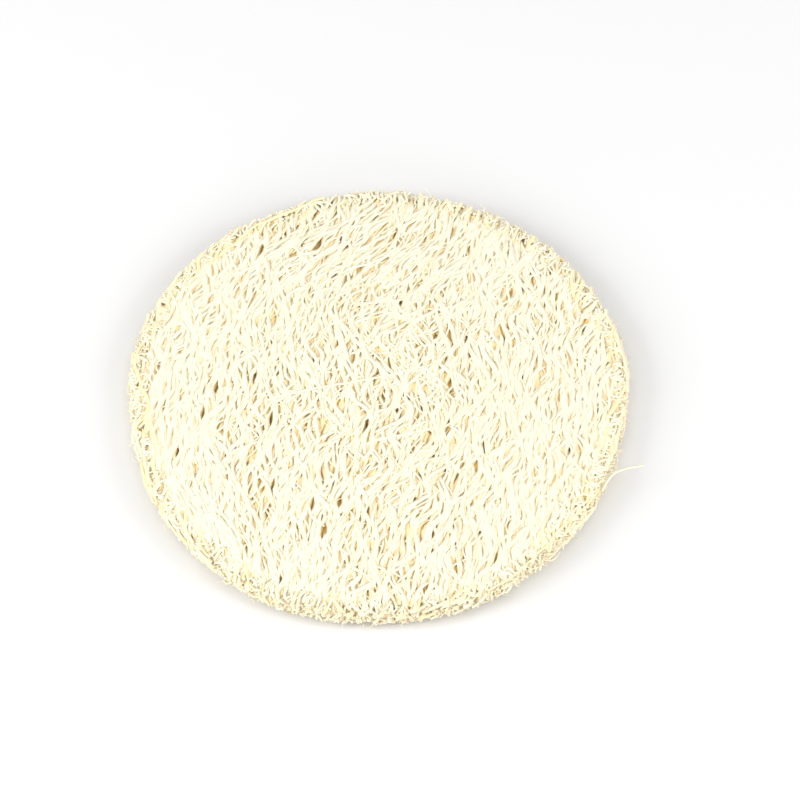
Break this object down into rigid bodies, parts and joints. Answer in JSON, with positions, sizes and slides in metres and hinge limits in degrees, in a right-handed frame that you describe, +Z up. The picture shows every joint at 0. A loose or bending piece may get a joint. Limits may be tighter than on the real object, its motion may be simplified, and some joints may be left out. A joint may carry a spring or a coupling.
{
  "type": "natural loofah sponge pad",
  "caption": "Flat round natural loofah pad: a pressed net of wavy cream plant fibres with lens-shaped gaps and ragged cut fibre ends round its rim.",
  "frame": {"origin": "middle of the pad on the surface that it lies on, at the bottom of its box", "axes": "+Z up, through the pad's thickness; +X to the right and +Y away as a viewer in front of it looks down on it; the grain of the net runs along +Y, turned 10 degrees towards +X"},
  "size_m": [0.0752, 0.0748, 0.0058],
  "materials": {
    "loofah_fibre": "dry, matt, pale cream plant fibre, a little tanner deep in the gaps"
  },
  "bodies": {
    "root": {"loofah_pad": "loofah_fibre"}
  },
  "joints": []
}
